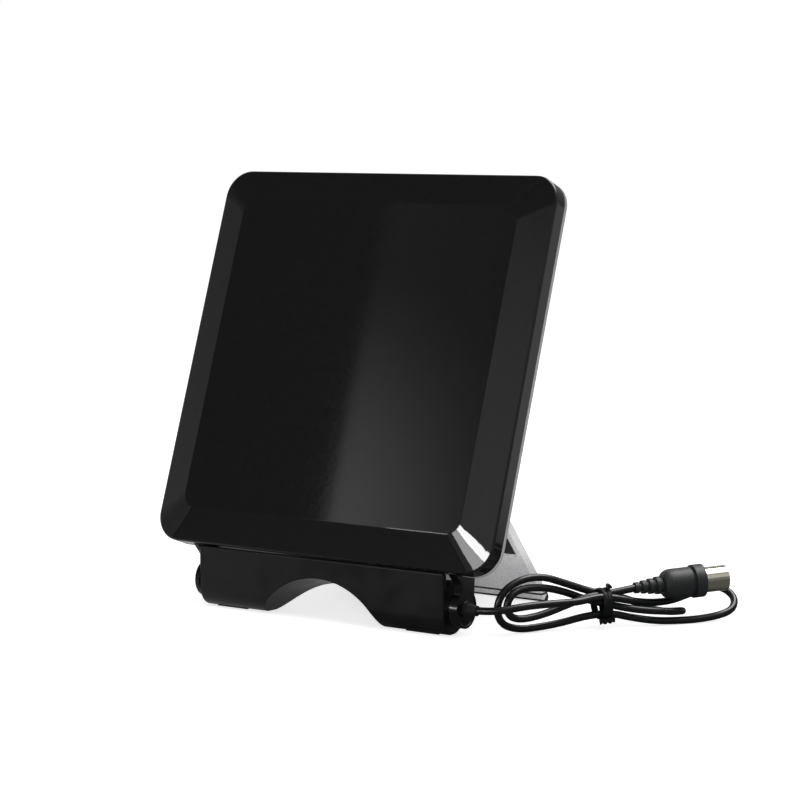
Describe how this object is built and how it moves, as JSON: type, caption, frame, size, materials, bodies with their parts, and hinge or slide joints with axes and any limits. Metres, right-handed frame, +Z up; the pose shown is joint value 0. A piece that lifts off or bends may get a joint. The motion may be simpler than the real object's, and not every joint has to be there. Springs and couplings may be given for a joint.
{
  "type": "indoor tv antenna",
  "caption": "Square flat-panel indoor TV antenna that tilts on an arched foot bar, with a folding prop leg, a tied coaxial cord and a push-on aerial plug.",
  "frame": {"origin": "on the table, in the middle of the stance between the foot bar's front and the leg's tip", "axes": "+Z up, the panel faces -Y, +X to the right seen from the front"},
  "size_m": [0.2083, 0.0939, 0.1658],
  "materials": {
    "gloss_black": "high gloss moulded",
    "silver_plastic": "satin silver grey",
    "satin_black": "satin moulded",
    "screw_steel": "plated",
    "board_laminate": "printed board",
    "copper_foil": "bare foil",
    "ferrite": "moulded ferrite",
    "cord_jacket": "soft jacket",
    "soft_rubber": "moulded rubber",
    "tie_plastic": "plastic band",
    "plug_moulding": "moulded",
    "nickel": "nickel plated",
    "insulator": "moulded"
  },
  "bodies": {
    "foot": {"foot_front": "satin_black", "foot_rear": "satin_black", "foot_screws": "screw_steel", "foot_pads": "soft_rubber", "tilt_spacers": "screw_steel", "cord_lead": "cord_jacket", "cord_hank": "cord_jacket", "cord_tail": "cord_jacket", "cord_tie": "tie_plastic", "plug_body": "plug_moulding", "plug_shell": "nickel", "plug_insulator": "insulator", "plug_pin": "nickel"},
    "panel": {"front_cover": "gloss_black", "rear_cover": "silver_plastic", "cover_screws": "screw_steel", "hinge_arm_left": "satin_black", "hinge_arm_right": "satin_black", "arm_screws": "screw_steel", "antenna_board": "board_laminate", "element_left": "copper_foil", "element_right": "copper_foil", "matching_transformer": "ferrite", "lead_clip": "screw_steel", "panel_lead": "cord_jacket", "cord_grommet": "soft_rubber", "leg_pins": "screw_steel"},
    "leg": {"leg_shell": "silver_plastic", "leg_insert": "satin_black", "leg_tip": "soft_rubber"}
  },
  "joints": [
    {"name": "panel_tilt", "type": "hinge", "parent": "foot", "child": "panel", "pos_m": [0, -0.03197, 0.01], "axis": [-1, 0, 0], "range_deg": [0, 50]},
    {"name": "leg_fold", "type": "hinge", "parent": "panel", "child": "leg", "pos_m": [0, -0.01189, 0.05908], "axis": [1, 0, 0], "range_deg": [0, 117]}
  ]
}
